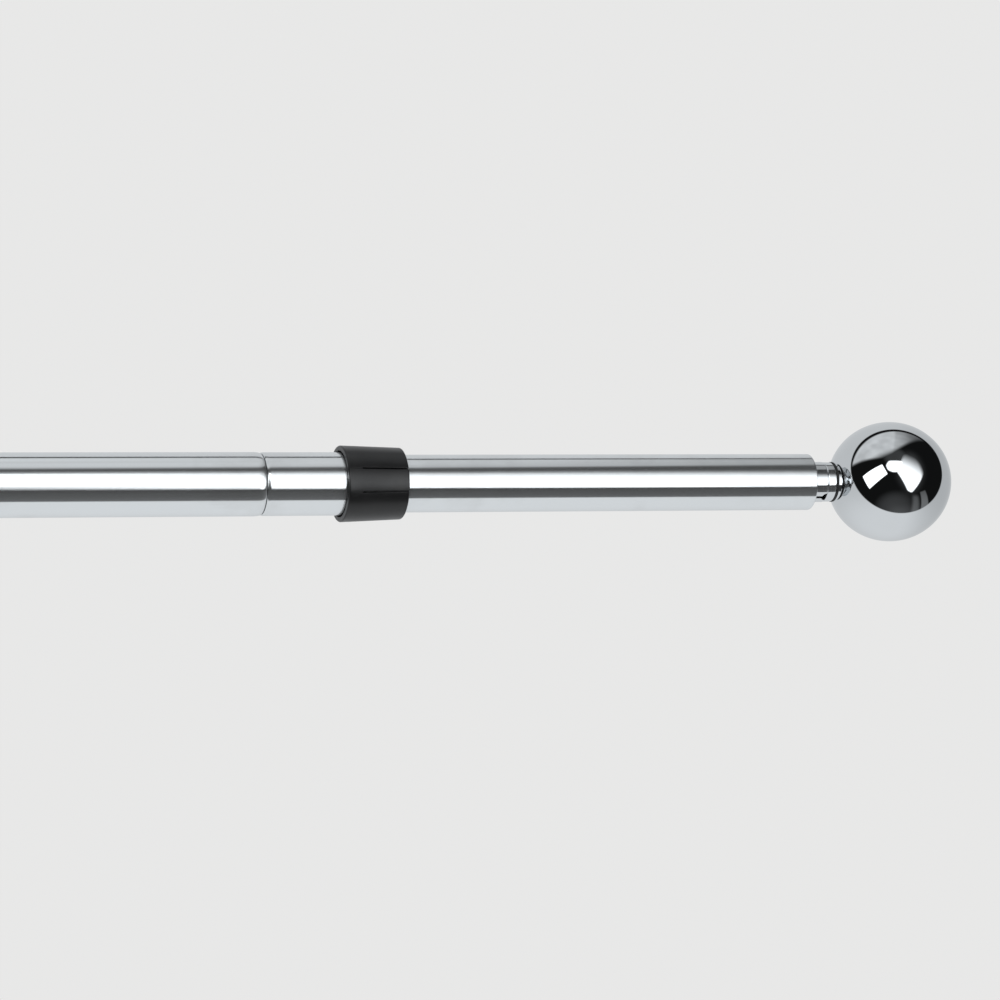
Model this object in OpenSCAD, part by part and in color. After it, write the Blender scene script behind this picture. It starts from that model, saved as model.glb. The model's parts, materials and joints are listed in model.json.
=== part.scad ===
// Telescopic flagpole: a lower tube with a friction collar, an inner tube that slides in it, and a ball finial.
// The origin is the middle of the foot's flat underside, and +Z runs up the pole.

/* [Lengths] */
// Height from the foot to the top of the collar
lower_section_h = 1000; // [700:10:1600]
// Whole length of the inner tube
inner_tube_l = 920; // [860:10:1500]
// Length of inner tube that stands above the collar
inner_show_l = 173.1; // [120:0.1:240]
// Length of the guide liner, whose lower end stops the bush when the pole is pulled out
liner_l = 144; // [70:1:200]

/* [Tubes] */
// Outer diameter of the inner tube
inner_tube_d = 22.7; // [21:0.1:26]
// Wall of the inner tube
inner_wall = 0.8; // [0.6:0.1:1.5]
// Radius on the top edge of the inner tube
inner_edge_r = 0.5; // [0.2:0.1:0.6]
// Wall of the guide liner between the tubes
liner_wall = 0.3; // [0.3:0.05:1]
// Wall of the lower tube
lower_wall = 0.7; // [0.7:0.1:1.5]
// Length of the rolled lip at the top of the lower tube
lower_lip_l = 3; // [1:0.1:5]
// Depth of the rolled lip at the top of the lower tube
lower_lip_depth = 0.5; // [0.2:0.05:0.6]

/* [Sleeve] */
// Open seam between the lower tube and the sleeve
seam_gap = 0.3; // [0.1:0.05:0.8]
// Wall of the sleeve
sleeve_wall = 0.6; // [0.6:0.1:1.5]
// Length of sleeve that shows between the lower tube and the collar
sleeve_show_l = 31.8; // [15:0.1:80]
// Length of the sleeve inside the collar
sleeve_seat_l = 18; // [10:0.5:20]
// Length of the rolled lip at the foot of the sleeve
sleeve_lip_l = 1.4; // [0.5:0.1:4]
// Depth of the rolled lip at the foot of the sleeve
sleeve_lip_depth = 0.4; // [0.2:0.05:0.5]

/* [Collar] */
// Height of the collar
collar_h = 24.8; // [22:0.1:40]
// Wall of the collar at its lower rim
collar_wall = 2.55; // [2:0.05:5]
// How much the collar's radius draws in towards the top
collar_taper = 0.9; // [0:0.05:1.1]
// Radius on the collar's outer edges
collar_edge_r = 0.6; // [0.2:0.1:0.8]
// Width of the relief round the sleeve at the collar's lower rim
relief_w = 0.6; // [0.2:0.1:1]
// Depth of the relief
relief_h = 2; // [0.5:0.1:5]
// Chamfer at the mouth that the inner tube runs through
collar_mouth = 0.6; // [0.2:0.1:1]
// Number of spring tongues round the collar
tongue_count = 2; // [1:1:4]
// Angle that a tongue spans between its slits
tongue_angle = 37; // [15:1:60]
// Solid rim left below the slits
slit_rim_h = 5.7; // [3:0.1:9]
// Width of a slit
slit_w = 0.6; // [0.3:0.1:1.5]
// Thin web left between a slit and the sleeve
slit_web = 0.5; // [0.3:0.1:1]
// Turn of the collar about the pole
collar_turn = 6; // [-90:1:90]

/* [Foot] */
// Height of the foot's flange
foot_flange_h = 4; // [2:0.5:20]
// Radius on the foot's lower edge
foot_edge_r = 1; // [0.3:0.1:1.8]
// Length of the foot inside the tube
foot_insert_l = 20; // [8:1:40]
// Wall of the foot's insert
foot_insert_wall = 2; // [1:0.1:4]

/* [Slide bush] */
// Height of the bush below the inner tube
bush_flange_h = 12; // [5:0.5:30]
// Length of the bush inside the inner tube
bush_insert_l = 16; // [6:1:40]
// Bore of the bush
bush_bore_d = 10; // [4:0.5:14]

/* [Finial] */
// Diameter of the plug's neck
neck_d = 16.3; // [15:0.1:18]
// Height of the plug's neck
neck_h = 6; // [3:0.1:15]
// Width of the spanner notch in the neck
notch_w = 1.3; // [0.6:0.1:2]
// Depth of the spanner notch
notch_depth = 2.4; // [1:0.1:3]
// Diameter of the round end of the spanner notch, at the neck's top edge
notch_end_d = 4.2; // [2:0.1:5]
// Turn of the spanner notch from the side in view
notch_turn = 50; // [-180:1:180]
// Length of the plug inside the inner tube
plug_insert_l = 18; // [14:1:40]
// Diameter of the finial's base
base_d = 16; // [13:0.1:18]
// Height of the finial's base
base_h = 3.6; // [2:0.1:15]
// Radius on the edges of neck and base
turned_edge_r = 0.35; // [0.1:0.05:0.8]
// Diameter of the washer under the ball
washer_d = 16.2; // [12:0.1:18]
// Thickness of the washer
washer_h = 1.1; // [0.5:0.1:3]
// Diameter of the stud
stud_d = 8; // [5:0.1:8.5]
// Length of stud in the plug
stud_low_l = 10; // [5:0.5:12]
// Length of stud in the ball
stud_top_l = 9; // [5:0.5:12]
// Diameter of the ball
ball_d = 48.8; // [40:0.1:80]
// Length of the ball along the pole
ball_l = 50.8; // [40:0.1:80]
// Diameter of the foot that the ball stands on
ball_foot_d = 15.2; // [12:0.1:18]
// Height of the ball's foot
ball_foot_h = 1.2; // [0.5:0.1:4]
// Wall of the ball
ball_wall = 1.2; // [0.8:0.1:3]
// Diameter of the boss inside the ball
boss_d = 14; // [11:0.5:18]
// Height of the boss inside the ball
boss_h = 10; // [6:0.5:14]

/* [Fits] */
// Clearance between pieces that are fitted together, on the radius
fit_gap = 0.05; // [0.02:0.01:0.15]
// Clearance between the inner tube and what guides it, on the radius
slide_gap = 0.1; // [0.05:0.01:0.3]
// Space left between a piece that turns and the face beside it
turn_gap = 0.3; // [0.2:0.1:1]

/* [Hidden] */
inner_r = inner_tube_d / 2;
inner_bore_r = inner_r - inner_wall;
liner_bore_r = inner_r + slide_gap;
liner_r = liner_bore_r + liner_wall;
bore_r = liner_r + fit_gap;
lower_r = bore_r + lower_wall;
sleeve_r = bore_r + sleeve_wall;
collar_bore_r = sleeve_r + fit_gap;
collar_low_r = collar_bore_r + collar_wall;
collar_top_r = collar_low_r - collar_taper;
stud_r = stud_d / 2;
stud_hole_r = stud_r + fit_gap;
ball_r = ball_d / 2;
ball_half_l = ball_l / 2;
ball_foot_r = ball_foot_d / 2;
seam_z = lower_section_h - collar_h - sleeve_show_l;
collar_z = lower_section_h - collar_h;
sleeve_top_z = collar_z + sleeve_seat_l;
inner_top_z = lower_section_h + inner_show_l;
inner_foot_z = inner_top_z - inner_tube_l;
bush_top_z = inner_foot_z - turn_gap;
neck_top_z = inner_top_z + neck_h;
base_top_z = neck_top_z + base_h;
ball_foot_z = base_top_z + washer_h;
ball_z = ball_foot_z + ball_foot_h + ball_half_l * sqrt(1 - pow(ball_foot_r / ball_r, 2));
arc_steps = 8;
eps = 0.5;
$fn = 160;

// Quarter of an ellipse round (cr, cz), from start to start + 90 degrees
function quarter(cr, cz, rr, rz, start) =
    [for (i = [0:arc_steps]) [cr + rr * cos(start + 90 * i / arc_steps), cz + rz * sin(start + 90 * i / arc_steps)]];

// A piece turned on the pole's axis, from its half section in radius and height
module turned(section) {
    rotate_extrude()
        polygon(section);
}

// Plain ring between two radii
module ring(inside_r, outside_r, z, h) {
    turned([[inside_r, z], [outside_r, z], [outside_r, z + h], [inside_r, z + h]]);
}

// Moulded cap that closes the lower tube and makes the standing face
module foot_plug() {
    insert_r = bore_r - fit_gap;
    hollow_r = insert_r - foot_insert_wall;
    insert_top = foot_flange_h + foot_insert_l;
    color([0.05, 0.05, 0.05])
        turned(concat(
            [[0, 0]],
            quarter(lower_r - foot_edge_r, foot_edge_r, foot_edge_r, foot_edge_r, -90),
            [[lower_r, foot_flange_h], [insert_r, foot_flange_h], [insert_r, insert_top],
             [hollow_r, insert_top], [hollow_r, foot_flange_h], [0, foot_flange_h]]));
}

// Lower tube, its top edge rolled inwards to the seam
module lower_tube() {
    lower_top = seam_z - seam_gap;
    color([0.8, 0.82, 0.84])
        turned(concat(
            [[bore_r, foot_flange_h], [lower_r, foot_flange_h]],
            quarter(lower_r - lower_lip_depth, lower_top - lower_lip_l, lower_lip_depth, lower_lip_l, 0),
            [[bore_r, lower_top]]));
}

// Short sleeve above the seam, its lower edge rolled inwards
module upper_sleeve() {
    color([0.8, 0.82, 0.84])
        turned(concat(
            [[bore_r, seam_z]],
            quarter(sleeve_r - sleeve_lip_depth, seam_z + sleeve_lip_l, sleeve_lip_depth, sleeve_lip_l, -90),
            [[sleeve_r, sleeve_top_z], [bore_r, sleeve_top_z]]));
}

// Cut for one slit on the X axis, open at the collar's side and top, with a thin web left behind it
module slit() {
    translate([collar_bore_r + slit_web, -slit_w / 2, collar_z + slit_rim_h])
        cube([collar_wall, slit_w, collar_h]);
}

// Tapered collar: it caps the sleeve, and its spring tongues grip the inner tube
module friction_collar() {
    color([0.06, 0.06, 0.06])
        difference() {
            turned(concat(
                [[collar_bore_r, collar_z + relief_h], [collar_bore_r + relief_w, collar_z + relief_h],
                 [collar_bore_r + relief_w, collar_z]],
                quarter(collar_low_r - collar_edge_r, collar_z + collar_edge_r, collar_edge_r, collar_edge_r, -90),
                quarter(collar_top_r - collar_edge_r, lower_section_h - collar_edge_r,
                        collar_edge_r, collar_edge_r, 0),
                [[liner_bore_r + collar_mouth, lower_section_h],
                 [liner_bore_r, lower_section_h - collar_mouth],
                 [liner_bore_r, sleeve_top_z], [collar_bore_r, sleeve_top_z]]));
            for (i = [0:tongue_count - 1], side = [-1, 1])
                rotate([0, 0, -90 - collar_turn + 360 * i / tongue_count + side * tongue_angle / 2])
                    slit();
        }
}

// Thin liner that joins tube and sleeve across the seam and guides the inner tube
module guide_liner() {
    color([0.12, 0.12, 0.12])
        ring(liner_bore_r, liner_r, sleeve_top_z - liner_l, liner_l);
}

// Bush that runs in the lower tube and carries the foot of the inner tube
module slide_bush() {
    color([0.2, 0.2, 0.2])
        union() {
            ring(bush_bore_d / 2, bore_r - slide_gap, bush_top_z - bush_flange_h, bush_flange_h);
            ring(bush_bore_d / 2, inner_bore_r - fit_gap, bush_top_z - eps, bush_insert_l + eps);
        }
}

// Inner tube, its top edge rounded
module inner_tube() {
    color([0.8, 0.82, 0.84])
        turned(concat(
            [[inner_bore_r, inner_foot_z], [inner_r, inner_foot_z]],
            quarter(inner_r - inner_edge_r, inner_top_z - inner_edge_r, inner_edge_r, inner_edge_r, 0),
            [[inner_bore_r, inner_top_z]]));
}

// Cut for the spanner notch on the X axis: a slot up the neck with a round end at its top edge
module notch() {
    floor_r = neck_d / 2 - notch_depth;
    translate([floor_r, -notch_w / 2, inner_top_z])
        cube([neck_d, notch_w, neck_h + eps]);
    translate([floor_r, 0, neck_top_z])
        rotate([0, 90, 0])
            cylinder(d = notch_end_d, h = neck_d);
}

// Plug in the top of the inner tube, with a neck that the finial screws down to
module tube_plug() {
    neck_r = neck_d / 2;
    insert_r = inner_bore_r - fit_gap;
    hole_z = neck_top_z - stud_low_l - turn_gap;
    insert_z = inner_top_z - plug_insert_l;
    color([0.8, 0.82, 0.84])
        difference() {
            turned(concat(
                [[0, insert_z], [insert_r, insert_z], [insert_r, inner_top_z], [neck_r, inner_top_z]],
                quarter(neck_r - turned_edge_r, neck_top_z - turned_edge_r, turned_edge_r, turned_edge_r, 0),
                [[0, neck_top_z]]));
            translate([0, 0, hole_z])
                cylinder(r = stud_hole_r, h = neck_top_z - hole_z + eps);
            rotate([0, 0, notch_turn - 90])
                notch();
        }
}

// Base of the finial: a turned ring with a stud both ways
module finial_base() {
    base_r = base_d / 2;
    color([0.8, 0.82, 0.84])
        turned(concat(
            [[0, neck_top_z - stud_low_l], [stud_r, neck_top_z - stud_low_l], [stud_r, neck_top_z]],
            quarter(base_r - turned_edge_r, neck_top_z + turned_edge_r, turned_edge_r, turned_edge_r, -90),
            quarter(base_r - turned_edge_r, base_top_z - turned_edge_r, turned_edge_r, turned_edge_r, 0),
            [[stud_r, base_top_z], [stud_r, ball_foot_z + stud_top_l], [0, ball_foot_z + stud_top_l]]));
}

// Black washer between the base and the ball
module finial_washer() {
    color([0.08, 0.08, 0.08])
        ring(stud_hole_r, washer_d / 2, base_top_z, washer_h);
}

// Ball shape round its own middle, slightly longer than wide
module ball_form(r, half_l) {
    scale([1, 1, half_l / r])
        sphere(r = r);
}

// Hollow ball on a short foot, with a bored boss inside for the stud
module finial_ball() {
    foot_drop = ball_z - ball_foot_z;
    color([0.8, 0.82, 0.84])
        translate([0, 0, ball_z])
            difference() {
                union() {
                    ball_form(ball_r, ball_half_l);
                    translate([0, 0, -foot_drop])
                        cylinder(r = ball_foot_r, h = ball_foot_h + ball_wall);
                }
                difference() {
                    ball_form(ball_r - ball_wall, ball_half_l - ball_wall);
                    translate([0, 0, -foot_drop])
                        cylinder(d = boss_d, h = boss_h);
                }
                translate([0, 0, -foot_drop - eps])
                    cylinder(r = stud_hole_r, h = boss_h + 2 * eps);
            }
}

foot_plug();
lower_tube();
upper_sleeve();
friction_collar();
guide_liner();
slide_bush();
inner_tube();
tube_plug();
finial_base();
finial_washer();
finial_ball();
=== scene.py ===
# %% [markdown]
# # A chrome telescopic flagpole
#
# The imported CAD model is the skeleton of this scene: eleven pieces on three bodies, in metres, with +Z up the
# pole. Blender gives the pole its looks. Most of it is polished chrome, and polished chrome has no colour of
# its own: it shows a picture of the room, bent by its shape. So two things matter here. The surfaces have to
# be truly round, because a facet or a lazy normal breaks the picture, and the room has to be worth
# reflecting.
#
# The CAD model is loaded first, and its boxes give the sizes below.

# %% Load the imported pole
import json
import math

import bmesh
import bpy
from mathutils import Matrix, Vector


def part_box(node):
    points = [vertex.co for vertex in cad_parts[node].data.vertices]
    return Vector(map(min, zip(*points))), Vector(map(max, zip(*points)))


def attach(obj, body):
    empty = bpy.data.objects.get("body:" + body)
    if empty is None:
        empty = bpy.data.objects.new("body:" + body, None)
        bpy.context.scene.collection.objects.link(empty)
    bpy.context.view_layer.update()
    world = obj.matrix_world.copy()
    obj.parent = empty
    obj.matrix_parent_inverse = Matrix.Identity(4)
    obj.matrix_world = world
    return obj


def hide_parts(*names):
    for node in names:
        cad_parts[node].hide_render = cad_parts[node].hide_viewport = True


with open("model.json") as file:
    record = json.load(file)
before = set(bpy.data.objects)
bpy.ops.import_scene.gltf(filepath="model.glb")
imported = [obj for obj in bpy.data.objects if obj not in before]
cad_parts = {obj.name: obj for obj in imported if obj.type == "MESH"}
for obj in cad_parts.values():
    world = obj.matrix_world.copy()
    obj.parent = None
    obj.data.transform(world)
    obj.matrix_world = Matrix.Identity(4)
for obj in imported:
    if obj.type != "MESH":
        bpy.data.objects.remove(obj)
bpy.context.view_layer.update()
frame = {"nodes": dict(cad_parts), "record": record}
print("nodes:", ", ".join(sorted(frame["nodes"])))

# %% [markdown]
# ## Sizes that come from the frame
#
# Every CAD node has a box, so radii and heights are read from there and not typed again. Only what a box
# can't tell, such as a wall or an edge radius, is written down later, next to the piece that needs it.

# %% Radii and heights from the boxes
MM = 0.001


def radius_of(node):
    """Outer radius of a turned CAD node."""
    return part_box(node)[1].x


def span_of(node):
    """Lowest and highest point of a CAD node."""
    low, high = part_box(node)
    return low.z, high.z


BALL_HALF_LENGTH = 25.4 * MM
foot_top, lower_top = span_of("lower_tube")
sleeve_foot, sleeve_top = span_of("upper_sleeve")
collar_z, collar_top = span_of("friction_collar")
inner_foot, inner_top = span_of("inner_tube")
neck_top = span_of("tube_plug")[1]
base_top, ball_foot = span_of("finial_washer")
ball_r = radius_of("finial_ball")
ball_z = span_of("finial_ball")[1] - BALL_HALF_LENGTH
print(f"seam at {sleeve_foot:.4f} m, collar {collar_z:.4f} to {collar_top:.4f} m")
print(f"ball middle at {ball_z:.4f} m")

# %% [markdown]
# ## Camera
#
# In the picture the pole lies across the frame, with its ball to the right. The pole stands upright in its
# own frame, so the camera is rolled a quarter turn: up in the picture is -X. It also stands below the ball
# and looks up the pole at about 18 degrees, which shows the underside of the collar. The lens is long,
# because the tubes hardly taper.

# %% The camera at the picture's angle
CAMERA_PLACE = Vector((0.0, -1.5213, 0.53635))
CAMERA_AIM = Vector((0.00664, 0.0, 1.04145))
PICTURE_UP = Vector((-1.0, 0.0, 0.0042))
LENS_MM = 145.8
SENSOR_MM = 36.0


def look_along(place, aim, up):
    """Matrix of a camera at a place, turned to an aim, with a hint for the picture's up."""
    back = (place - aim).normalized()
    right = up.cross(back).normalized()
    turn = Matrix((right, back.cross(right), back)).transposed()
    return Matrix.Translation(place) @ turn.to_4x4()


camera = bpy.data.objects.new("picture_camera", bpy.data.cameras.new("picture_camera"))
camera.data.lens = LENS_MM
camera.data.sensor_width = SENSOR_MM
camera.matrix_world = look_along(CAMERA_PLACE, CAMERA_AIM, PICTURE_UP)
bpy.context.scene.collection.objects.link(camera)
bpy.context.scene.camera = camera
bpy.context.scene.view_settings.view_transform = "Standard"
look = (CAMERA_AIM - CAMERA_PLACE).normalized()
print("camera looks up the pole at", round(math.degrees(math.asin(look.z)), 1), "degrees")

# %% [markdown]
# ## A helper for node trees
#
# The studio, the finishes and the lathe are all node trees. This small class adds a node, fills its sockets
# with numbers or links, and gives the node back, so that a tree can be written as a formula.

# %% Node helper
class Nodes:
    """Adds linked nodes to one tree."""

    def __init__(self, tree):
        self.tree = tree

    def add(self, kind, sockets=None, **settings):
        node = self.tree.nodes.new(kind)
        for name, value in settings.items():
            setattr(node, name, value)
        for key, value in (sockets or {}).items():
            self.fill(node.inputs[key], value)
        return node

    def fill(self, socket, value):
        if isinstance(value, bpy.types.NodeSocket):
            self.tree.links.new(value, socket)
        else:
            socket.default_value = value

    def math(self, operation, first, second=0.0):
        return self.add("ShaderNodeMath", {0: first, 1: second}, operation=operation).outputs[0]

    def vector(self, operation, first, second=(0.0, 0.0, 0.0)):
        node = self.add("ShaderNodeVectorMath", {0: first, 1: second}, operation=operation)
        return node.outputs["Value" if operation in ("DOT_PRODUCT", "LENGTH") else "Vector"]

    def step(self, value, start, end, low=0.0, high=1.0):
        """Soft step from low to high while the value goes from start to end."""
        sockets = {"Value": value, 1: start, 2: end, 3: low, 4: high}
        return self.add("ShaderNodeMapRange", sockets, interpolation_type="SMOOTHSTEP").outputs[0]

    def mix(self, factor, first, second):
        """Blend of two colours."""
        node = self.add("ShaderNodeMix", {0: factor}, data_type="RGBA")
        self.fill(node.inputs[6], first)
        self.fill(node.inputs[7], second)
        return node.outputs[2]

    def noise(self, vector, scale, detail=2.0, roughness=0.5):
        sockets = {"Vector": vector, "Scale": scale, "Detail": detail, "Roughness": roughness}
        return self.add("ShaderNodeTexNoise", sockets).outputs[0]


print("node helper ready")

# %% [markdown]
# ## The studio that the chrome mirrors
#
# The pole was photographed in the mouth of a pale tent: behind and below it everything is pale, in front it
# is dark, and two softboxes, a lamp between them and a bounced grey ceiling light it from there. The right
# box's light fades towards its top. The ball shows that room like a map, so each outline below is a few
# corners read from the ball, as two angles: how far round the pole from the camera's side, towards the
# picture's top, and how far along the pole, towards the ball. Light levels are pairs where they change from
# one end to the other.
#
# The room could be made of many planes and lamps, or painted in the world. A world is endlessly far away, so
# every tube would mirror the same strip of it, and here the tubes clearly show the boxes shifted against the
# ball. So the room is painted on a dome of a real size round the ball, with the boxes some metres away and
# the ceiling close by. Only glossy rays see the dome. The world stays an even pale light, which keeps colours
# at the level they are written at.

# %% Directions and outlines in the room
BALL_MIDDLE = Vector((0.0, 0.0, ball_z))


def toward(around, along):
    """Unit vector for a direction given by its two angles in degrees."""
    turn, rise = math.radians(around), math.radians(along)
    return Vector((-math.sin(turn) * math.cos(rise), -math.cos(turn) * math.cos(rise), math.sin(rise)))


def side_of(nodes, direction, first, second, inside, soft):
    """Mask of the side of a straight edge, seen from the ball, on which a third direction lies."""
    across = toward(*first).cross(toward(*second)).normalized()
    if across.dot(inside) < 0:
        across.negate()
    height = nodes.vector("DOT_PRODUCT", direction, across)
    reach = math.sin(math.radians(soft))
    return nodes.step(height, -reach, reach)


def panel(nodes, direction, corners, soft):
    """Mask of a flat panel with straight edges. soft is one softness in degrees, or one for each edge."""
    inside = sum((toward(*corner) for corner in corners), Vector()).normalized()
    softness = soft if isinstance(soft, (list, tuple)) else [soft] * len(corners)
    mask = 1.0
    for index, corner in enumerate(corners):
        edge = side_of(nodes, direction, corner, corners[(index + 1) % len(corners)], inside, softness[index])
        mask = nodes.math("MULTIPLY", edge, mask)
    return mask


print("straight up the picture is", [round(value, 2) for value in toward(90, 0)])

# %% The room as a light map
TENT_AXIS, TENT_EDGE_DEG, TENT_EDGE_SOFT = (28, 0), 89.5, 0.02
TENT_FLOOR = (-88, 0)
TENT_LIGHT = (0.66, 0.80)
TENT_END_SHARE = 0.82
FRONT_GLOW = (-50, -4)
FRONT_LIGHT = (0.007, 0.055)
NEAR_STRIP = [(-26, 23), (-28, 33), (-70, 37), (-66, 25)]
NEAR_STRIP_SHARE = 0.6
FAR_STRIP = [(-22, 37), (-20, 47), (-50, 54), (-72, 53), (-68, 40)]
STRIP_FOOT = (-66, 30)
STRIP_LIGHT = (0.03, 0.19)
SKIRT = [(-50, -8), (-52, 30), (-74, 34), (-72, -6)]
SKIRT_LIGHT = 0.04
BOOM = (50, -4)
BOOM_LIGHT = 0.045
CEILING = [(109, -64), (84, -57), (58, -40), (60, 4), (75, 25), (96, 39), (109.5, 46)]
CEILING_SOFT = [4, 7, 9, 9, 7, 4, 2]
CEILING_FOLD = [(107, 15), (62, -2)]
CEILING_LEFT = (90, -20)
CEILING_LEFT_LIGHT = 0.70
CEILING_RIGHT_LIGHT = (0.58, 0.10)
CLOTH_SCALE = 3.2
CLOTH_SHARE = (0.86, 1.1)
RIGHT_BOX = [(19.5, -5.5), (36, 2.5), (54, 13), (52, 30), (13, 42), (-20, 21), (-16.5, 13.5)]
RIGHT_BOX_SOFT = [1, 4, 6, 5, 2, 2, 2]
RIGHT_BOX_MIDDLE = (0, 15)
BOX_FADE, BOX_FADE_SOFT = [(37, 1), (12, 41.5)], 26.0
HALO_SOFT, HALO_LIGHT = 16.0, 0.08
LEFT_BOX = [(26, -68), (38.5, -28.5), (16.5, -22.8), (-23, -55)]
LAMP_HEAD = [(42, -15.5), (38, 7.5), (19, -2.5), (19, -12.5), (24.5, -20.5), (34.5, -22)]
BOX_LIGHT = 2.6
ROOM_TINT = (0.975, 1.0, 1.02)


def nearness(nodes, direction, target):
    """Cosine of the angle between the direction and a target given by its two angles."""
    return nodes.vector("DOT_PRODUCT", direction, toward(*target))


def tent_light(nodes, direction, along):
    """Light of the pale tent: strongest below the pole, weaker past the ball."""
    light = nodes.step(nearness(nodes, direction, TENT_FLOOR), 0.2, 0.95, *TENT_LIGHT)
    return nodes.math("MULTIPLY", light, nodes.step(along, 0.25, 0.9, 1.0, TENT_END_SHARE))


def front_light(nodes, direction):
    """Faint light on what stands in the dark front of the room."""
    near = nodes.math("MULTIPLY", panel(nodes, direction, NEAR_STRIP, 4.0), NEAR_STRIP_SHARE)
    strips = nodes.math("ADD", near, panel(nodes, direction, FAR_STRIP, 1.5))
    strip_level = nodes.step(nearness(nodes, direction, STRIP_FOOT), 0.6, 1.0, *STRIP_LIGHT)
    light = nodes.step(nearness(nodes, direction, FRONT_GLOW), 0.80, 1.0, *FRONT_LIGHT)
    for mask, level in (
            (strips, strip_level),
            (panel(nodes, direction, SKIRT, 12.0), SKIRT_LIGHT),
            (panel(nodes, direction, RIGHT_BOX, HALO_SOFT), HALO_LIGHT),
            (nodes.step(nearness(nodes, direction, BOOM), 0.93, 0.99), BOOM_LIGHT)):
        light = nodes.math("ADD", light, nodes.math("MULTIPLY", mask, level))
    return light


def ceiling_light(nodes, direction, along):
    """Light of the grey ceiling cloth, with a fold that parts its bright left from its darkening right."""
    left = side_of(nodes, direction, *CEILING_FOLD, toward(*CEILING_LEFT), 3.0)
    right_light = nodes.step(along, 0.05, 0.75, *CEILING_RIGHT_LIGHT)
    light = nodes.step(left, 0.0, 1.0, right_light, CEILING_LEFT_LIGHT)
    cloth = nodes.step(nodes.noise(direction, CLOTH_SCALE, 1.0), 0.3, 0.7, *CLOTH_SHARE)
    light = nodes.math("MULTIPLY", light, cloth)
    return nodes.math("MULTIPLY", panel(nodes, direction, CEILING, CEILING_SOFT), light)


def box_masks(nodes, direction):
    """Masks of the right box, whose light fades towards its top, the left box and the lamp head."""
    fade = side_of(nodes, direction, *BOX_FADE, toward(*RIGHT_BOX_MIDDLE), BOX_FADE_SOFT)
    right_box = nodes.math("MULTIPLY", panel(nodes, direction, RIGHT_BOX, RIGHT_BOX_SOFT), fade)
    return right_box, panel(nodes, direction, LEFT_BOX, 1.0), panel(nodes, direction, LAMP_HEAD, 2.0)


def paint_room(nodes):
    """Colour of the room in the direction of the shaded point of the dome."""
    place = nodes.add("ShaderNodeTexCoord").outputs["Object"]
    direction = nodes.vector("NORMALIZE", nodes.vector("SUBTRACT", place, BALL_MIDDLE))
    along = nodes.vector("DOT_PRODUCT", direction, Vector((0, 0, 1)))

    light = nodes.math("MAXIMUM", front_light(nodes, direction), ceiling_light(nodes, direction, along))
    for mask in box_masks(nodes, direction):
        light = nodes.math("MAXIMUM", light, nodes.math("MULTIPLY", mask, BOX_LIGHT))

    edge = math.cos(math.radians(TENT_EDGE_DEG))
    facing = nearness(nodes, direction, TENT_AXIS)
    tent = nodes.step(facing, edge + TENT_EDGE_SOFT, edge - TENT_EDGE_SOFT)
    light = nodes.math("MULTIPLY", light, nodes.math("SUBTRACT", 1.0, tent))
    light = nodes.math("ADD", light, nodes.math("MULTIPLY", tent, tent_light(nodes, direction, along)))
    room = nodes.add("ShaderNodeVectorMath", {0: ROOM_TINT, "Scale": light}, operation="SCALE")
    return room.outputs["Vector"]


def emission_material(name):
    """Empty node material that ends in an emission, with its tree."""
    material = bpy.data.materials.new(name)
    material.use_nodes = True
    material.node_tree.nodes.clear()
    nodes = Nodes(material.node_tree)
    glow = nodes.add("ShaderNodeEmission", {"Strength": 1.0})
    nodes.add("ShaderNodeOutputMaterial", {"Surface": glow.outputs[0]})
    return material, nodes, glow


dome_light, dome_nodes, dome_glow = emission_material("studio_room")
dome_nodes.fill(dome_glow.inputs["Color"], paint_room(dome_nodes))
print("room painted with", len(dome_light.node_tree.nodes), "nodes")

# %% The dome, the floor and the pale world
BOX_DISTANCE = 6.0
CEILING_DISTANCE = 1.0
CEILING_STARTS, CEILING_ENDS = 50.0, 125.0
FLOOR_RADIUS = 1.6
FLOOR_DROP = 0.3 * MM
PALE = (0.806, 0.806, 0.802, 1)


def new_object(name, build):
    """Mesh object whose shape a bmesh function builds."""
    mesh = bpy.data.meshes.new(name)
    shape = bmesh.new()
    build(shape)
    shape.to_mesh(mesh)
    shape.free()
    thing = bpy.data.objects.new(name, mesh)
    bpy.context.scene.collection.objects.link(thing)
    return thing


def stage_object(name, build, material):
    """Mesh of the studio, which is no part of the pole."""
    thing = new_object(name, build)
    thing.data.materials.append(material)
    return thing


def build_dome(shape):
    bmesh.ops.create_icosphere(shape, subdivisions=5, radius=1.0)
    for vert in shape.verts:
        around = math.degrees(math.atan2(-vert.co.x, -vert.co.y))
        overhead = CEILING_STARTS < around < CEILING_ENDS
        vert.co = BALL_MIDDLE + vert.co * (CEILING_DISTANCE if overhead else BOX_DISTANCE)


dome = stage_object("studio_dome", build_dome, dome_light)
dome.visible_camera = False
dome.visible_diffuse = False
dome.visible_shadow = False
dome.visible_transmission = False

world = bpy.data.worlds.new("pale_studio")
world.use_nodes = True
world.node_tree.nodes["Background"].inputs["Color"].default_value = PALE
bpy.context.scene.world = world
print("dome of", len(dome.data.polygons), "faces")


def build_floor(shape):
    place = Matrix.Translation((0, 0, -FLOOR_DROP))
    bmesh.ops.create_circle(shape, cap_ends=True, segments=96, radius=FLOOR_RADIUS, matrix=place)


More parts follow.
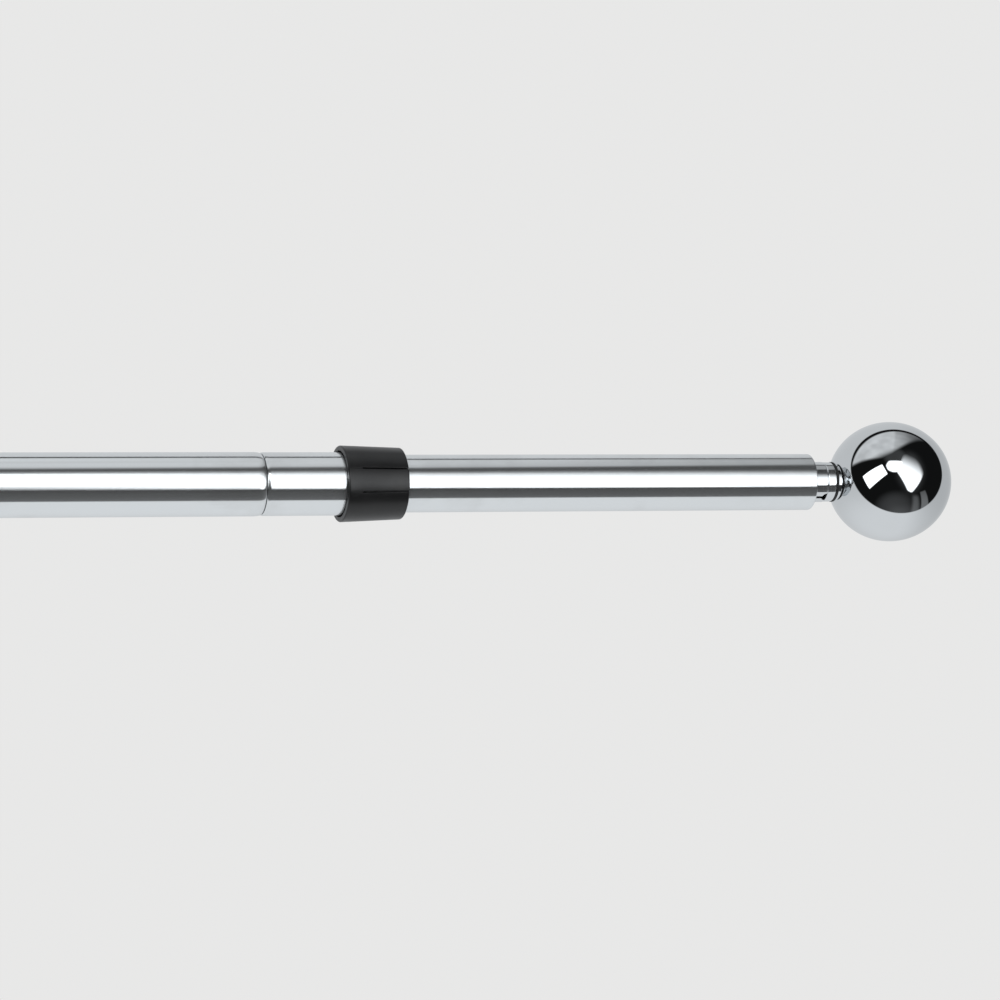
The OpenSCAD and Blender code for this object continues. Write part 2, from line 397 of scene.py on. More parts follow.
def floor_paint():
    """Matt pale floor that fades away before its rim, so that no edge shows against the pale world."""
    material = bpy.data.materials.new("pale_floor")
    material.use_nodes = True
    material.node_tree.nodes.clear()
    nodes = Nodes(material.node_tree)
    place = nodes.add("ShaderNodeTexCoord").outputs["Object"]
    away = nodes.step(nodes.vector("LENGTH", place), 0.45 * FLOOR_RADIUS, 0.98 * FLOOR_RADIUS)
    matt = nodes.add("ShaderNodeBsdfDiffuse", {"Color": (0.88, 0.88, 0.875, 1)})
    clear = nodes.add("ShaderNodeBsdfTransparent")
    blend = nodes.add("ShaderNodeMixShader", {0: away, 1: matt.outputs[0], 2: clear.outputs[0]})
    nodes.add("ShaderNodeOutputMaterial", {"Surface": blend.outputs[0]})
    return material


floor = stage_object("floor", build_floor, floor_paint())
floor.visible_glossy = False

key = bpy.data.objects.new("key_lamp", bpy.data.lights.new("key_lamp", "AREA"))
key.data.shape = "SQUARE"
key.data.size = 1.2
key.data.energy = 18.0
key.matrix_world = look_along(Vector((-1.4, -1.6, 2.4)), Vector((0, 0, 0.4)), Vector((0, 0, 1)))
key.visible_glossy = False
key.visible_camera = False
bpy.context.scene.collection.objects.link(key)
print("floor and key lamp in place")

# %% [markdown]
# ## Surface effects shared by the finishes
#
# Real plating is never a perfect mirror. The drawn tube under it is slightly wavy along its length, the
# plating has a faint peel, and hands leave smudges and fine scuffs. Moulded plastic has a spark-eroded grain,
# and its rims are rubbed smoother. Each effect is a node group that puts out plain values, so that every
# finish can place it with sizes of its own. Sizes are in metres, because the groups read Object coordinates.

# %% A builder for effect groups
SOCKETS = {"vector": "NodeSocketVector", "value": "NodeSocketFloat"}


def effect_group(name, inputs, outputs):
    """Empty shader group with named inputs and float outputs: its tree, helper, inputs and outputs."""
    tree = bpy.data.node_groups.new(name, "ShaderNodeTree")
    for label, kind in inputs.items():
        tree.interface.new_socket(label, in_out="INPUT", socket_type=SOCKETS[kind])
    for label in outputs:
        tree.interface.new_socket(label, in_out="OUTPUT", socket_type=SOCKETS["value"])
    nodes = Nodes(tree)
    return tree, nodes, nodes.add("NodeGroupInput").outputs, nodes.add("NodeGroupOutput").inputs


def stretched(nodes, vector, across, along):
    """Coordinates in which a noise of scale 1 has one size across the pole and another along it."""
    wide = nodes.math("DIVIDE", 1.0, across)
    long = nodes.math("DIVIDE", 1.0, along)
    scale = nodes.add("ShaderNodeCombineXYZ", {0: wide, 1: wide, 2: long}).outputs[0]
    return nodes.vector("MULTIPLY", vector, scale)


print("effect groups can have", ", ".join(SOCKETS))

# %% Waves and peel of the plating
ripple_tree, n, given, out = effect_group(
    "plating_ripple",
    {"Vector": "vector", "Wave width": "value", "Wave length": "value",
     "Peel size": "value", "Peel share": "value"},
    ["Height"])
waves = n.noise(stretched(n, given["Vector"], given["Wave width"], given["Wave length"]), 1.0, 1.0)
peel = n.noise(stretched(n, given["Vector"], given["Peel size"], given["Peel size"]), 1.0, 2.0)
n.fill(out["Height"], n.math("ADD", waves, n.math("MULTIPLY", peel, given["Peel share"])))
print("group", ripple_tree.name)

# %% Smudges and scuffs
marks_tree, n, given, out = effect_group(
    "handling_marks",
    {"Vector": "vector", "Smudge size": "value", "Scuff width": "value", "Scuff length": "value"},
    ["Smudge", "Scuff"])
cloud = n.noise(stretched(n, given["Vector"], given["Smudge size"], given["Smudge size"]), 1.0, 4.0, 0.6)
lines = n.noise(stretched(n, given["Vector"], given["Scuff width"], given["Scuff length"]), 1.0, 2.0, 0.7)
n.fill(out["Smudge"], n.step(cloud, 0.48, 0.72))
n.fill(out["Scuff"], n.math("MULTIPLY", n.step(lines, 0.62, 0.74), n.step(cloud, 0.35, 0.65)))
print("group", marks_tree.name)

# %% Grain of moulded plastic
grain_tree, n, given, out = effect_group(
    "moulded_grain", {"Vector": "vector", "Grain size": "value", "Flow size": "value"}, ["Height", "Tone"])
grain = n.noise(stretched(n, given["Vector"], given["Grain size"], given["Grain size"]), 1.0, 3.0, 0.6)
flow = n.noise(stretched(n, given["Vector"], given["Flow size"], given["Flow size"]), 1.0, 3.0, 0.55)
n.fill(out["Height"], grain)
n.fill(out["Tone"], n.math("ADD", n.math("MULTIPLY", grain, 0.35), n.math("MULTIPLY", flow, 0.65)))
print("group", grain_tree.name)

# %% Rubbing and a painted highlight on the rims
# The rim mark, broken into patches, makes rims paler and smoother: partly wear, partly a painted highlight.
rim_wear_and_highlight_tree, n, given, out = effect_group(
    "rim_wear_and_highlight", {"Vector": "vector", "Rim": "value", "Patch size": "value"}, ["Wear"])
patches = n.noise(stretched(n, given["Vector"], given["Patch size"], given["Patch size"]), 1.0, 3.0, 0.6)
n.fill(out["Wear"], n.math("MULTIPLY", given["Rim"], n.step(patches, 0.3, 0.7, 0.35, 1.0)))
print("group", rim_wear_and_highlight_tree.name)

# %% [markdown]
# ## Finishes
#
# Chrome is a metal with a high, slightly blue reflectance and very little roughness. The tubes are plated
# over drawn steel, so their waves are long and run up the pole, and sliding leaves scuffs that way too. The
# drawing also blurs what they mirror much more along the pole than round it, which an anisotropic surface
# with its tangent round the axis gives. Hands and sliding leave a thin veil that lifts the darkest
# reflections, so the handled metal is not quite all metal. The finial is turned and spun, so its plating is
# smoother, and slightly darker. The plastics share one recipe with different grains: a dark base whose tone
# drifts a little, a satin roughness that follows the grain, and rims that are rubbed smoother and paler. The
# paler rims are partly wear and partly a painted highlight on the edges.

# %% A builder for finishes
def finish_of(name, **constants):
    """New material with a Principled BSDF, its constants set on the shader's own sockets."""
    material = bpy.data.materials.new(name)
    material.use_nodes = True
    nodes = Nodes(material.node_tree)
    surface = material.node_tree.nodes["Principled BSDF"]
    for label, value in constants.items():
        surface.inputs[label.replace("_", " ")].default_value = value
    place = nodes.add("ShaderNodeTexCoord").outputs["Object"]
    return material, nodes, surface.inputs, place


def effect(nodes, tree, place, **values):
    """Places an effect group in a material and gives back its outputs."""
    node = nodes.add("ShaderNodeGroup", node_tree=tree)
    nodes.fill(node.inputs["Vector"], place)
    for label, value in values.items():
        nodes.fill(node.inputs[label.replace("_", " ").capitalize()], value)
    return node.outputs


print("finish builder ready")

# %% Chrome
TUBE_CHROME = (0.80, 0.825, 0.84, 1)
BALL_CHROME = (0.73, 0.75, 0.765, 1)
DULL_CHROME = (0.70, 0.715, 0.725, 1)
# Near-black colour that paints shade onto the walls of the neck's notch, in place of the plating.
NOTCH_PAINTED_SHADE = (0.018, 0.017, 0.016, 1)
VEIL = 0.07
VEIL_END = 0.2 * MM
PEEL_SHARE = 0.03
NOTCH_ROUGHNESS = 0.6


def chrome(name, clean, wave, peel, smudge, scuff, depth, smooth, dull, drawn, veil_top):
    """Plated metal. wave and scuff are (width, length), smooth and dull the roughness of clean and marked metal.
    drawn says how much more it blurs along the pole than round it. Below veil_top it has a faint veil."""
    material, nodes, surface, place = finish_of(name, Anisotropic=drawn, Anisotropic_Rotation=0.25)
    height = nodes.add("ShaderNodeSeparateXYZ", {0: place}).outputs[2]
    nodes.fill(surface["Metallic"], nodes.step(height, veil_top, veil_top + VEIL_END, 1.0 - VEIL, 1.0))
    nodes.fill(surface["Tangent"], nodes.add("ShaderNodeTangent", direction_type="RADIAL", axis="Z").outputs[0])
    ripple = effect(
        nodes, ripple_tree, place, wave_width=wave[0], wave_length=wave[1], peel_size=peel, peel_share=PEEL_SHARE)
    marks = effect(nodes, marks_tree, place, smudge_size=smudge, scuff_width=scuff[0], scuff_length=scuff[1])
    marked = nodes.math("MAXIMUM", nodes.math("MULTIPLY", marks["Smudge"], 0.5), marks["Scuff"])
    # Faces marked painted_shade, the walls of the neck's notch, get a painted shade: near-black and rough.
    painted_shade = nodes.add("ShaderNodeAttribute", attribute_name="painted_shade").outputs["Fac"]
    nodes.fill(surface["Base Color"], nodes.mix(painted_shade, nodes.mix(marked, clean, DULL_CHROME), NOTCH_PAINTED_SHADE))
    plated = nodes.step(marked, 0.0, 1.0, smooth, dull)
    nodes.fill(surface["Roughness"], nodes.step(painted_shade, 0.0, 1.0, plated, NOTCH_ROUGHNESS))
    bump = nodes.add("ShaderNodeBump", {"Strength": 1.0, "Distance": depth, "Height": ripple["Height"]})
    nodes.fill(surface["Normal"], bump.outputs[0])
    return material


plated_tube = chrome(
    "plated_tube", TUBE_CHROME, wave=(9 * MM, 160 * MM), peel=1.6 * MM, smudge=26 * MM,
    scuff=(0.09 * MM, 22 * MM), depth=0.025 * MM, smooth=0.15, dull=0.19, drawn=0.95, veil_top=ball_z)
mirror_plate = chrome(
    "mirror_plate", BALL_CHROME, wave=(11 * MM, 11 * MM), peel=1.2 * MM, smudge=18 * MM,
    scuff=(1.6 * MM, 0.05 * MM), depth=0.005 * MM, smooth=0.02, dull=0.05, drawn=0.0, veil_top=ball_foot)
print("chromes:", plated_tube.name, mirror_plate.name)

# %% Plastics
def plastic(name, dark, pale, grain, depth, satin, rubbed):
    """Moulded plastic: dark and pale end its tone, satin and rubbed are its roughness on walls and rims."""
    material, nodes, surface, place = finish_of(name, Metallic=0.0, IOR=1.5)
    rim = nodes.add("ShaderNodeAttribute", attribute_name="rim").outputs["Fac"]
    moulded = effect(nodes, grain_tree, place, grain_size=grain, flow_size=9 * MM)
    wear_and_highlight = effect(nodes, rim_wear_and_highlight_tree, place, rim=rim, patch_size=3 * MM)["Wear"]
    tone = nodes.step(moulded["Tone"], 0.35, 0.65)
    # Rims lean to the pale end of the tone: partly wear, partly a painted highlight on the edges.
    tone_wear_and_highlight = nodes.math("ADD", nodes.math("MULTIPLY", tone, 0.6), nodes.math("MULTIPLY", wear_and_highlight, 0.4))
    nodes.fill(surface["Base Color"], nodes.mix(tone_wear_and_highlight, dark, pale))
    grainy = nodes.step(moulded["Height"], 0.3, 0.7, satin + 0.04, satin - 0.04)
    nodes.fill(surface["Roughness"], nodes.step(wear_and_highlight, 0.0, 1.0, grainy, rubbed))
    bump = nodes.add("ShaderNodeBump", {"Strength": 1.0, "Distance": depth, "Height": moulded["Height"]})
    nodes.fill(surface["Normal"], bump.outputs[0])
    return material


satin_black = plastic(
    "satin_black", (0.003, 0.003, 0.0035, 1), (0.008, 0.008, 0.0085, 1), 0.22 * MM, 0.006 * MM, 0.36, 0.30)
grained_black = plastic(
    "grained_black", (0.020, 0.020, 0.021, 1), (0.038, 0.038, 0.039, 1), 0.35 * MM, 0.02 * MM, 0.55, 0.42)
liner_black = plastic(
    "liner_black", (0.010, 0.010, 0.010, 1), (0.020, 0.020, 0.020, 1), 0.5 * MM, 0.006 * MM, 0.5, 0.42)
bush_black = plastic(
    "bush_black", (0.03, 0.03, 0.03, 1), (0.06, 0.06, 0.06, 1), 0.4 * MM, 0.008 * MM, 0.5, 0.42)
black_rubber = plastic(
    "black_rubber", (0.004, 0.004, 0.004, 1), (0.010, 0.010, 0.010, 1), 0.15 * MM, 0.006 * MM, 0.65, 0.55)
print("plastics:", satin_black.name, grained_black.name, liner_black.name, bush_black.name, black_rubber.name)

# %% [markdown]
# ## A lathe in Geometry Nodes
#
# Tubes, neck, base, ball and foot are all turned or drawn on one axis, so one rule makes them: a half
# section, swung round the pole. The Screw modifier would do it as well, but a node tree can also carry a mark
# from the section to the surface and set the finish. The object's own mesh is the section: a chain of points,
# radius along X and height along Z. The tree lays a grid with one row for each point and one column for each
# step round, puts every grid point at its place, merges the seam and the poles, shades all faces smooth and
# keeps only true corners sharp. Without the smooth faces every mirrored softbox would break up into flat
# tiles.

# %% The lathe tree
def lathe_tree():
    """Node tree that swings the object's own chain of points round the Z axis."""
    tree = bpy.data.node_groups.new("lathe", "GeometryNodeTree")
    socket = tree.interface.new_socket
    socket("Section", in_out="INPUT", socket_type="NodeSocketGeometry")
    socket("Steps round", in_out="INPUT", socket_type="NodeSocketInt")
    socket("Crease angle", in_out="INPUT", socket_type="NodeSocketFloat")
    socket("Finish", in_out="INPUT", socket_type="NodeSocketMaterial")
    socket("Piece", in_out="OUTPUT", socket_type="NodeSocketGeometry")
    nodes = Nodes(tree)
    given = nodes.add("NodeGroupInput").outputs
    section, steps = given["Section"], given["Steps round"]

    def whole(operation, first, second):
        return nodes.add("FunctionNodeIntegerMath", {0: first, 1: second}, operation=operation).outputs[0]

    def from_section(kind, value, row):
        sockets = {"Geometry": section, "Value": value, "Index": row}
        return nodes.add("GeometryNodeSampleIndex", sockets, data_type=kind, domain="POINT").outputs[0]

    rows = nodes.add("GeometryNodeAttributeDomainSize", {0: section}, component="MESH").outputs["Point Count"]
    columns = whole("ADD", steps, 1)
    grid = nodes.add("GeometryNodeMeshGrid", {"Vertices X": rows, "Vertices Y": columns}).outputs["Mesh"]
    index = nodes.add("GeometryNodeInputIndex").outputs[0]
    row = whole("DIVIDE_FLOOR", index, columns)
    turn = nodes.math("MULTIPLY", nodes.math("DIVIDE", whole("MODULO", index, columns), steps), 2 * math.pi)

    point = from_section("FLOAT_VECTOR", nodes.add("GeometryNodeInputPosition").outputs[0], row)
    sockets = {"Vector": point, "Angle": turn}
    placed = nodes.add("ShaderNodeVectorRotate", sockets, rotation_type="Z_AXIS").outputs[0]
    shell = nodes.add("GeometryNodeSetPosition", {"Geometry": grid, "Position": placed}).outputs[0]
    mark = nodes.add("GeometryNodeInputNamedAttribute", {"Name": "rim"}, data_type="FLOAT").outputs[0]
    sockets = {"Geometry": shell, "Name": "rim", "Value": from_section("FLOAT", mark, row)}
    shell = nodes.add("GeometryNodeStoreNamedAttribute", sockets, data_type="FLOAT", domain="POINT").outputs[0]
    shell = nodes.add("GeometryNodeMergeByDistance", {"Geometry": shell, "Distance": 0.001 * MM}).outputs[0]

    bend = nodes.add("GeometryNodeInputMeshEdgeAngle").outputs["Unsigned Angle"]
    sockets = {0: bend, 1: given["Crease angle"]}
    gentle = nodes.add("FunctionNodeCompare", sockets, operation="LESS_THAN").outputs[0]
    sockets = {"Geometry": shell, "Shade Smooth": True}
    shell = nodes.add("GeometryNodeSetShadeSmooth", sockets, domain="FACE").outputs[0]
    sockets = {"Geometry": shell, "Shade Smooth": gentle}
    shell = nodes.add("GeometryNodeSetShadeSmooth", sockets, domain="EDGE").outputs[0]
    shell = nodes.add("GeometryNodeRealizeInstances", {0: shell}).outputs[0]
    shell = nodes.add("GeometryNodeSetMaterial", {"Geometry": shell, "Material": given["Finish"]}).outputs[0]
    nodes.add("NodeGroupOutput", {"Piece": shell})
    return tree


lathe = lathe_tree()
print("lathe tree with", len(lathe.nodes), "nodes")

# %% [markdown]
# ## Half sections
#
# A section is a list of points with a radius, a height and a mark from 0 to 1 that says how much the point
# lies on a rim. Rounded corners are arcs. A long straight gets extra rows: an even spread, and one close to
# each end, because a smooth normal at a rounded corner would otherwise lean all the way along the tube and
# bend its reflections.

# %% Arcs, rows and turned pieces
ARC_STEPS = 10
END_ROW = 0.5 * MM
ROW_SPACING = 24 * MM
CREASE = math.radians(32)


def arc(radius, height, across, up, start):
    """Quarter of an ellipse round a point of the half section, from start to start + 90 degrees."""
    angles = [math.radians(start + 90 * step / ARC_STEPS) for step in range(ARC_STEPS + 1)]
    return [(radius + across * math.cos(angle), height + up * math.sin(angle), 1.0) for angle in angles]


def plain(*points):
    """Corners of a section with no rim on them."""
    return [(radius, height, 0.0) for radius, height in points]


def with_rows(section):
    """Section with extra rows on its long straights."""
    dense = [section[0]]
    for (r0, z0, m0), (r1, z1, m1) in zip(section, section[1:]):
        length = math.hypot(r1 - r0, z1 - z0)
        shares = []
        if length > 4 * END_ROW:
            count = max(1, round(length / ROW_SPACING))
            shares = [END_ROW / length] + [step / count for step in range(1, count)] + [1 - END_ROW / length]
        dense += [(r0 + (r1 - r0) * share, z0 + (z1 - z0) * share, 0.0) for share in shares]
        dense.append((r1, z1, m1))
    return dense


def plain_mesh(thing):
    """Replaces an object's mesh by what its modifiers make of it, and removes them."""
    bpy.context.view_layer.update()
    evaluated = thing.evaluated_get(bpy.context.evaluated_depsgraph_get())
    made = bpy.data.meshes.new_from_object(evaluated)
    thing.modifiers.clear()
    made.name = thing.name
    thing.data = made
    return thing


BODY_OF = {node: body for body, nodes in frame["record"]["behaviour"]["bodies"].items() for node in nodes}


def stands_for(thing, node):
    """Lets a finished piece replace a CAD node and ride on its body."""
    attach(thing, BODY_OF[node])
    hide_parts(node)
    print(f"{thing.name}: {len(thing.data.polygons)} faces for {node}")


def turned(name, section, steps, finish):
    """Piece made on the lathe from a half section, as a plain mesh."""
    rows = with_rows(section)
    chain = bpy.data.meshes.new(name)
    chain.from_pydata([(r, 0, z) for r, z, _ in rows], [(i, i + 1) for i in range(len(rows) - 1)], [])
    chain.attributes.new("rim", "FLOAT", "POINT").data.foreach_set("value", [mark for _, _, mark in rows])
    piece = bpy.data.objects.new(name, chain)
    bpy.context.scene.collection.objects.link(piece)
    modifier = piece.modifiers.new("lathe", "NODES")
    modifier.node_group = lathe
    values = {"Steps round": steps, "Crease angle": CREASE, "Finish": finish}
    for item in lathe.interface.items_tree:
        if item.in_out == "INPUT" and item.name in values:
            modifier[item.identifier] = values[item.name]
    return plain_mesh(piece)


print("arc of", len(arc(0, 0, 1, 1, 0)), "points")

# %% [markdown]
# ## The tubes
#
# The lower tube and the sleeve above it are drawn steel, chromed all over. Where they meet, both edges are
# rolled inwards and a hair of the black liner shows between them, so the seam is a fine dark line between two
# rounded shoulders that fan the highlights out. The inner tube is thinner and has a small radius at its top
# edge. All three are real tubes with a wall.

# %% Lower tube, sleeve and inner tube
TUBE_STEPS = 144
lower_r, sleeve_r, inner_r = radius_of("lower_tube"), radius_of("upper_sleeve"), radius_of("inner_tube")
lower_bore, inner_bore = lower_r - 0.7 * MM, inner_r - 0.8 * MM
LOWER_LIP = (0.5 * MM, 3.0 * MM)
SLEEVE_LIP = (0.4 * MM, 1.4 * MM)
INNER_EDGE = 0.5 * MM
CUT_EDGE = 0.15 * MM

lower_section = (
    plain((lower_bore, foot_top))
    + arc(lower_r - CUT_EDGE, foot_top + CUT_EDGE, CUT_EDGE, CUT_EDGE, -90)
    + arc(lower_r - LOWER_LIP[0], lower_top - LOWER_LIP[1], *LOWER_LIP, 0)
    + plain((lower_bore, lower_top), (lower_bore, foot_top)))
sleeve_section = (
    plain((lower_bore, sleeve_foot))
    + arc(sleeve_r - SLEEVE_LIP[0], sleeve_foot + SLEEVE_LIP[1], *SLEEVE_LIP, -90)
    + plain((sleeve_r, sleeve_top), (lower_bore, sleeve_top), (lower_bore, sleeve_foot)))
inner_section = (
    plain((inner_bore, inner_foot), (inner_r, inner_foot))
    + arc(inner_r - INNER_EDGE, inner_top - INNER_EDGE, INNER_EDGE, INNER_EDGE, 0)
    + plain((inner_bore, inner_top), (inner_bore, inner_foot)))
stands_for(turned("lower_tube_shell", lower_section, TUBE_STEPS, plated_tube), "lower_tube")
stands_for(turned("sleeve_shell", sleeve_section, TUBE_STEPS, plated_tube), "upper_sleeve")
stands_for(turned("inner_tube_shell", inner_section, TUBE_STEPS, plated_tube), "inner_tube")

# %% [markdown]
# ## Neck, base and ball
#
# The plug in the inner tube has a turned neck, and the finial's base sits on it as a second ring, with a fine
# seam between them. A black rubber washer lies on the base, and the ball stands on it with a short foot. The
# ball is pressed from two halves and comes out slightly longer than wide. It is the one surface that mirrors
# the whole room, so it has the most rows.

# %% Plug, base and ball
TURNED_STEPS = 128
BALL_STEPS = 256
BALL_ROWS = 160
neck_r, base_r = 8.15 * MM, radius_of("finial_base")
TURNED_EDGE = 0.35 * MM
WASHER_EDGE = 0.2 * MM
washer_r = radius_of("finial_washer")
stud_r, stud_hole_r = 4.0 * MM, 4.05 * MM
stud_foot, stud_top = span_of("finial_base")
plug_r, plug_foot = radius_of("tube_plug"), span_of("tube_plug")[0]
hole_foot = stud_foot - 0.3 * MM
BALL_WALL = 1.2 * MM
BALL_FOOT_R = 7.6 * MM
boss_r, boss_top = 7.0 * MM, ball_foot + 10 * MM

plug_section = (
    plain((0, plug_foot), (plug_r, plug_foot), (plug_r, inner_top), (neck_r, inner_top))
    + arc(neck_r - TURNED_EDGE, neck_top - TURNED_EDGE, TURNED_EDGE, TURNED_EDGE, 0)
    + plain((stud_hole_r, neck_top), (stud_hole_r, hole_foot), (0, hole_foot)))
base_section = (
    plain((0, stud_foot), (stud_r, stud_foot), (stud_r, neck_top))
    + arc(base_r - TURNED_EDGE, neck_top + TURNED_EDGE, TURNED_EDGE, TURNED_EDGE, -90)
    + arc(base_r - TURNED_EDGE, base_top - TURNED_EDGE, TURNED_EDGE, TURNED_EDGE, 0)
    + plain((stud_r, base_top), (stud_r, stud_top), (0, stud_top)))
washer_section = (
    plain((stud_hole_r, base_top))
    + arc(washer_r - WASHER_EDGE, base_top + WASHER_EDGE, WASHER_EDGE, WASHER_EDGE, -90)
    + arc(washer_r - WASHER_EDGE, ball_foot - WASHER_EDGE, WASHER_EDGE, WASHER_EDGE, 0)
    + plain((stud_hole_r, ball_foot), (stud_hole_r, base_top)))


def ball_arc(inset, first, last):
    """Rows of the ball's form, set in from its surface, between two angles from its lowest point."""
    angles = [first + (last - first) * row / BALL_ROWS for row in range(BALL_ROWS + 1)]
    across, up = ball_r - inset, BALL_HALF_LENGTH - inset
    return plain(*[(across * math.sin(angle), ball_z - up * math.cos(angle)) for angle in angles])


boss_meets = math.asin(boss_r / (ball_r - BALL_WALL))
ball_section = (
    plain((stud_hole_r, boss_top), (stud_hole_r, ball_foot), (BALL_FOOT_R, ball_foot))
    + ball_arc(0.0, math.asin(BALL_FOOT_R / ball_r), math.pi)
    + ball_arc(BALL_WALL, math.pi, boss_meets)
    + plain((boss_r, boss_top), (stud_hole_r, boss_top)))
stands_for(turned("finial_base_ring", base_section, TURNED_STEPS, mirror_plate), "finial_base")
stands_for(turned("washer_ring", washer_section, TURNED_STEPS, black_rubber), "finial_washer")
stands_for(turned("finial_ball_shell", ball_section, BALL_STEPS, mirror_plate), "finial_ball")

# %% [markdown]
# ## The notch in the neck
#
# The neck has a notch for a hook spanner: a slot up its side that ends in a round at the top edge. A Boolean
# with a prism cuts it. Its walls get a painted shade, a near-black colour with a rough finish, for the shade
# inside the slot. The cut faces are found by their place, marked for that painted shade, and sharp edges are
# set again by angle, so the round of the neck keeps its clean shading.

# %% Plug with its notch
NOTCH_WIDTH = 1.3 * MM
NOTCH_DEPTH = 2.4 * MM
NOTCH_END_R = 2.1 * MM
NOTCH_TURN = math.radians(-40)
NOTCH_STEPS = 24


def notch_outline():
    """Outline of the notch, across the neck and up the pole."""
    half = NOTCH_WIDTH / 2
    first = -math.acos(half / NOTCH_END_R)
    angles = [first + (math.pi - 2 * first) * step / NOTCH_STEPS for step in range(NOTCH_STEPS + 1)]
    round_end = [(NOTCH_END_R * math.cos(angle), neck_top + NOTCH_END_R * math.sin(angle)) for angle in angles]
    return [(-half, inner_top), (half, inner_top)] + round_end


def build_notch(shape):
    turn = Matrix.Rotation(NOTCH_TURN, 4, "Z")
    rings = []
    for radius in (neck_r - NOTCH_DEPTH, neck_r + NOTCH_DEPTH):
        rings.append([shape.verts.new(turn @ Vector((radius, t, z))) for t, z in notch_outline()])
    for ring in rings:
        shape.faces.new(ring)
    for index in range(len(rings[0])):
        after = (index + 1) % len(rings[0])
        shape.faces.new((rings[0][index], rings[0][after], rings[1][after], rings[1][index]))
    bmesh.ops.recalc_face_normals(shape, faces=shape.faces)


plug = turned("plug_and_neck", plug_section, TURNED_STEPS, mirror_plate)
cutter = new_object("notch_cutter", build_notch)
cutter.data.materials.append(mirror_plate)
cut = plug.modifiers.new("notch", "BOOLEAN")
cut.operation = "DIFFERENCE"
cut.object = cutter
plain_mesh(plug)
bpy.data.objects.remove(cutter)
plug.data.set_sharp_from_angle(angle=CREASE)


def in_notch(face):
    """Whether a face of the plug is a wall of the notch."""
    radius = face.center.to_2d().length
    inside = stud_hole_r + 0.2 * MM < radius < neck_r - TURNED_EDGE
    return inside and inner_top + 0.01 * MM < face.center.z < neck_top - 0.01 * MM


# The notch's walls are marked for a painted shade.
painted_shade = plug.data.attributes.new("painted_shade", "FLOAT", "FACE")
notch_faces = [float(in_notch(face)) for face in plug.data.polygons]
painted_shade.data.foreach_set("value", notch_faces)
print(int(sum(notch_faces)), "faces of the notch are bare steel")
stands_for(plug, "tube_plug")

# %% [markdown]
# ## The foot
#
# A moulded cap closes the lower tube: a flat face to stand on, a rounded lower edge, and a hollow insert that
# is pushed into the bore.

# %% Foot cap
FOOT_EDGE = 1.0 * MM
insert_r = lower_bore - 0.05 * MM
hollow_r = insert_r - 2.0 * MM
insert_top = span_of("foot_plug")[1]
foot_section = (
    plain((0, 0))
    + arc(lower_r - FOOT_EDGE, FOOT_EDGE, FOOT_EDGE, FOOT_EDGE, -90)
    + arc(lower_r - CUT_EDGE, foot_top - CUT_EDGE, CUT_EDGE, CUT_EDGE, 0)
    + plain((insert_r, foot_top), (insert_r, insert_top))
    + plain((hollow_r, insert_top), (hollow_r, foot_top), (0, foot_top)))
stands_for(turned("foot_cap", foot_section, TURNED_STEPS, grained_black), "foot_plug")

# %% [markdown]
# ## The friction collar
#
# The collar is a tapered ring of black plastic. Four slits, open at the top, part two spring tongues that
# grip the inner tube, and a thin web behind them keeps dirt out. A relief at the lower rim leaves a dark gap
# round the sleeve. A lathe can't sink the slits, and a Boolean would leave long slivers on a surface whose
# reflections should run clean. So the ring is laid out as columns round the pole: between the two
# walls of a slit the section steps in to the slit's floor. Slit walls are parallel, so a wall column is set
# off from the slit's middle by a distance and not by an angle. A Bevel modifier rounds every sharp edge, and
# Weighted Normal keeps the broad faces true.

# %% Section and columns of the collar
COLLAR_EDGE = 0.6 * MM
COLLAR_MOUTH = 0.6 * MM
COLLAR_TOP_R = 14.1 * MM
SLIT_WIDTH = 0.6 * MM
SLIT_FOOT = 5.7 * MM
SLIT_WEB = 0.5 * MM
RELIEF_WIDTH = 0.6 * MM
RELIEF_DEPTH = 2.0 * MM
TONGUES = 2
TONGUE_DEG = 37.0
COLLAR_TURN_DEG = 6.0
COLUMN_DEG = 2.5
collar_r = radius_of("friction_collar")
collar_bore = sleeve_r + 0.05 * MM
grip_r = inner_r + 0.1 * MM
slit_z = collar_z + SLIT_FOOT
side_foot = (collar_r, collar_z + COLLAR_EDGE)
side_top = (COLLAR_TOP_R, collar_top - COLLAR_EDGE)


def on_side(height):
    """Point of the tapered outer side at a height."""
    share = (height - side_foot[1]) / (side_top[1] - side_foot[1])
    return side_foot[0] + (side_top[0] - side_foot[0]) * share, height


relief_r, relief_top = collar_bore + RELIEF_WIDTH, collar_z + RELIEF_DEPTH
slit_floor_r = collar_bore + SLIT_WEB
collar_low = (
    plain((collar_bore, relief_top), (relief_r, relief_top), (relief_r, collar_z))
    + arc(collar_r - COLLAR_EDGE, collar_z + COLLAR_EDGE, COLLAR_EDGE, COLLAR_EDGE, -90)
    + plain(on_side(slit_z)))
collar_side = arc(COLLAR_TOP_R - COLLAR_EDGE, collar_top - COLLAR_EDGE, COLLAR_EDGE, COLLAR_EDGE, 0)
slit_foot = plain((slit_floor_r, slit_z))
collar_inside = plain(
    (slit_floor_r, collar_top), (grip_r + COLLAR_MOUTH, collar_top), (grip_r, collar_top - COLLAR_MOUTH),
    (grip_r, sleeve_top), (collar_bore, sleeve_top))
slit_angles = sorted(
    (-90 - COLLAR_TURN_DEG + 360 * tongue / TONGUES + side * TONGUE_DEG / 2) % 360
    for tongue in range(TONGUES) for side in (-1, 1))


def collar_columns():
    """Columns round the collar as (angle, set-off, whether a slit follows)."""
    columns = []
    for this, following in zip(slit_angles, slit_angles[1:] + [slit_angles[0] + 360]):
        columns.append((this, -SLIT_WIDTH / 2, True))
        columns.append((this, SLIT_WIDTH / 2, False))
        count = round((following - this) / COLUMN_DEG)
        columns += [(this + (following - this) * step / count, 0.0, False) for step in range(1, count)]
    return columns


print(f"slits at {[round(angle, 1) for angle in slit_angles]} degrees, {len(collar_columns())} columns")

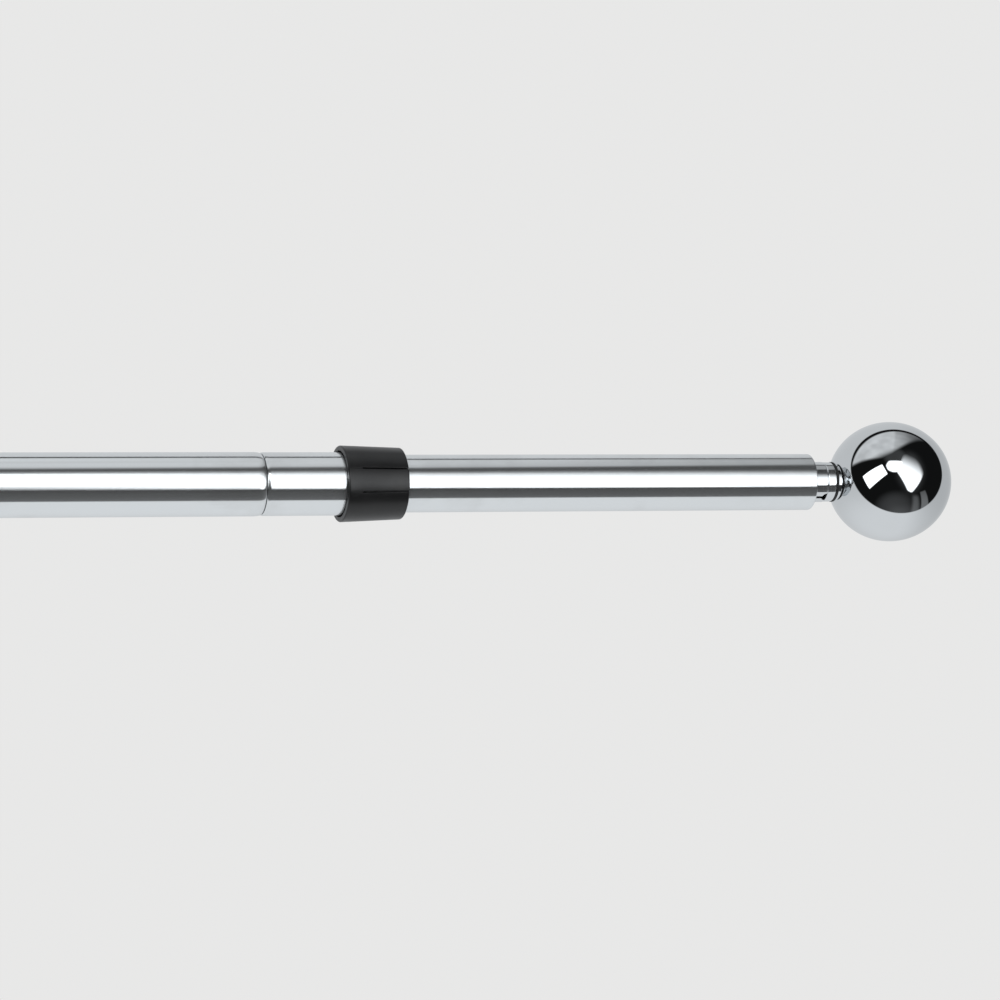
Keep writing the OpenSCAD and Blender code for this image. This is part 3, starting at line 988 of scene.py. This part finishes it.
# %% The collar's mesh
def collar_shape(shape):
    """Columns of the section, bridged round the pole, with the slit's floor between two slit walls."""
    rim = shape.verts.layers.float.new("rim")
    columns = collar_columns()

    def column_of(angle, set_off, section):
        verts = []
        for radius, height, mark in section:
            turn = math.radians(angle) + math.asin(set_off / radius)
            vert = shape.verts.new((radius * math.cos(turn), radius * math.sin(turn), height))
            vert[rim] = mark
            verts.append(vert)
        return verts

    parts = []
    for angle, set_off, _ in columns:
        sections = (collar_low, collar_side, collar_inside)
        low, side, inside = (column_of(angle, set_off, section) for section in sections)
        foot = column_of(angle, set_off, slit_foot) if set_off else []
        parts.append((low, side, foot, inside))
    for index, (_, _, slit_follows) in enumerate(columns):
        low, side, foot, inside = parts[index]
        low2, side2, foot2, inside2 = parts[(index + 1) % len(columns)]
        here = low + (foot if slit_follows else side) + inside
        following = low2 + (foot2 if slit_follows else side2) + inside2
        for row in range(len(here)):
            after = (row + 1) % len(here)
            shape.faces.new((here[row], following[row], following[after], here[after]))
        if slit_follows:
            walls = (parts[index], parts[(index + 1) % len(columns)])
            for wall_low, wall_side, wall_foot, wall_inside in walls:
                shape.faces.new([wall_foot[0], wall_low[-1]] + wall_side + [wall_inside[0]])
    bmesh.ops.recalc_face_normals(shape, faces=shape.faces)


collar = new_object("friction_collar_ring", collar_shape)
collar.data.polygons.foreach_set("use_smooth", [True] * len(collar.data.polygons))
collar.data.materials.append(satin_black)
bevel = collar.modifiers.new("moulded edges", "BEVEL")
bevel.width = 0.1 * MM
bevel.segments = 3
bevel.limit_method = "ANGLE"
bevel.angle_limit = math.radians(35)
weighted = collar.modifiers.new("true faces", "WEIGHTED_NORMAL")
weighted.keep_sharp = True
stands_for(plain_mesh(collar), "friction_collar")

# %% [markdown]
# ## Pieces that stay as CAD solids
#
# The liner and the bush are hidden inside the tubes at every pose, so their CAD solids stay. They still get a
# finish.

# %% Hidden plastics
for node, finish in (("guide_liner", liner_black), ("slide_bush", bush_black)):
    mesh = frame["nodes"][node].data
    mesh.materials.clear()
    mesh.materials.append(finish)
    print(node, "gets", finish.name)
